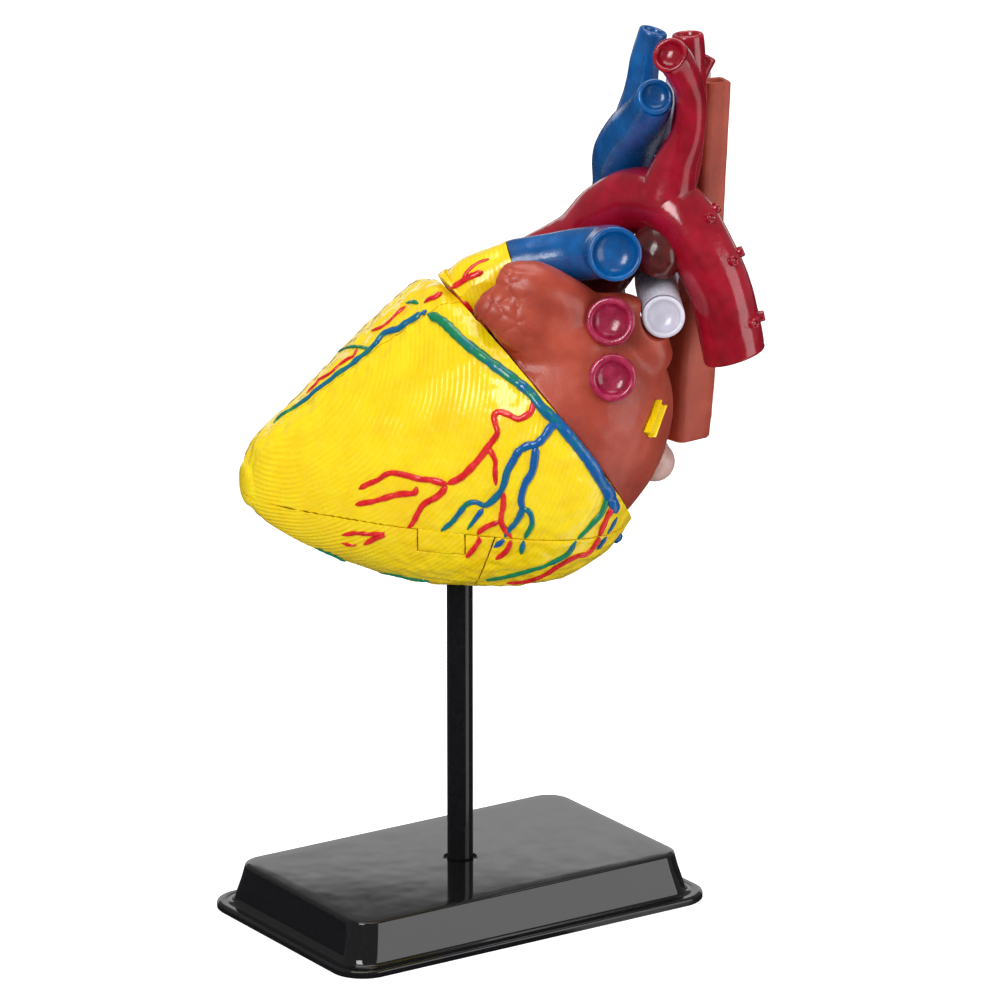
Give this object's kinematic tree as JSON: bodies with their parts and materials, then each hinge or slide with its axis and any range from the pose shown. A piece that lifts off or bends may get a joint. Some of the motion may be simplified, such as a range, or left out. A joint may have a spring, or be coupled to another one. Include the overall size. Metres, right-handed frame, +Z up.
{
  "type": "heart anatomy model",
  "caption": "Take-apart human heart model on a black stand: ventricle walls, atrium, great vessels, windpipe and esophagus lift off a core that turns on its pole.",
  "frame": {"origin": "centre of the stand's underside, on the pole's axis", "axes": "+Z up along the pole, +X along the base's long side"},
  "size_m": [0.1207, 0.0851, 0.2065],
  "materials": {
    "black_gloss": "gloss",
    "yellow_muscle": "gloss",
    "brick_red": "satin",
    "crimson": "gloss",
    "vein_blue": "gloss",
    "pale_airway": "gloss"
  },
  "bodies": {
    "stand": {"stand_base": "black_gloss"},
    "pole": {"pole": "black_gloss"},
    "heart_core": {"lower_wall_front": "yellow_muscle", "lower_wall_rear": "yellow_muscle", "septum": "yellow_muscle", "valve_plate": "yellow_muscle", "mitral_valve": "pale_airway", "tricuspid_valve": "pale_airway", "aortic_valve": "crimson", "pulmonary_valve": "vein_blue", "left_papillary_muscles": "brick_red", "right_papillary_muscles": "brick_red", "pulmonary_outflow": "yellow_muscle", "right_atrium": "brick_red", "right_auricle": "brick_red", "right_pulmonary_veins": "crimson", "inferior_vena_cava": "vein_blue", "right_pulmonary_artery": "vein_blue", "aorta": "crimson", "intercostal_stubs": "crimson", "arch_branches": "crimson", "arterial_ligament": "brick_red"},
    "left_ventricle": {"left_ventricle_wall": "yellow_muscle", "locking_tab": "yellow_muscle"},
    "right_ventricle": {"right_ventricle_wall": "yellow_muscle"},
    "left_atrium": {"left_atrium": "brick_red", "left_auricle": "brick_red", "left_pulmonary_veins": "crimson", "atrium_clip": "yellow_muscle"},
    "pulmonary_trunk": {"pulmonary_trunk": "vein_blue"},
    "vena_cava": {"vena_cava_superior": "vein_blue"},
    "airway": {"trachea": "pale_airway", "left_bronchus": "pale_airway", "right_bronchus": "pale_airway"},
    "esophagus": {"esophagus": "brick_red"}
  },
  "joints": [
    {"name": "pole_turn", "type": "hinge", "parent": "stand", "child": "pole", "pos_m": [0, 0, 0], "axis": [0, 0, 1], "continuous": true},
    {"name": "heart_lift", "type": "slide", "parent": "pole", "child": "heart_core", "axis": [0, 0, 1], "range_m": [0, 0.03]},
    {"name": "left_wall_pull", "type": "slide", "parent": "heart_core", "child": "left_ventricle", "axis": [-0.5542, -0.8309, 0.0499], "range_m": [0, 0.06]},
    {"name": "right_wall_pull", "type": "slide", "parent": "heart_core", "child": "right_ventricle", "axis": [0.2924, 0.9563, 0.0101], "range_m": [0, 0.06]},
    {"name": "left_atrium_pull", "type": "slide", "parent": "heart_core", "child": "left_atrium", "axis": [-0.2923, -0.9559, 0.0287], "range_m": [0, 0.05]},
    {"name": "pulmonary_trunk_pull", "type": "slide", "parent": "heart_core", "child": "pulmonary_trunk", "axis": [-0.3329, -0.4992, 0.8], "range_m": [0, 0.04]},
    {"name": "vena_cava_pull", "type": "slide", "parent": "heart_core", "child": "vena_cava", "axis": [0.0561, 0.9933, 0.1009], "range_m": [0, 0.04]},
    {"name": "trachea_pull", "type": "slide", "parent": "heart_core", "child": "airway", "axis": [0.5294, 0.8478, 0.03], "range_m": [0, 0.06]},
    {"name": "esophagus_pull", "type": "slide", "parent": "heart_core", "child": "esophagus", "axis": [0.8316, -0.5546, 0.03], "range_m": [0, 0.03]}
  ]
}
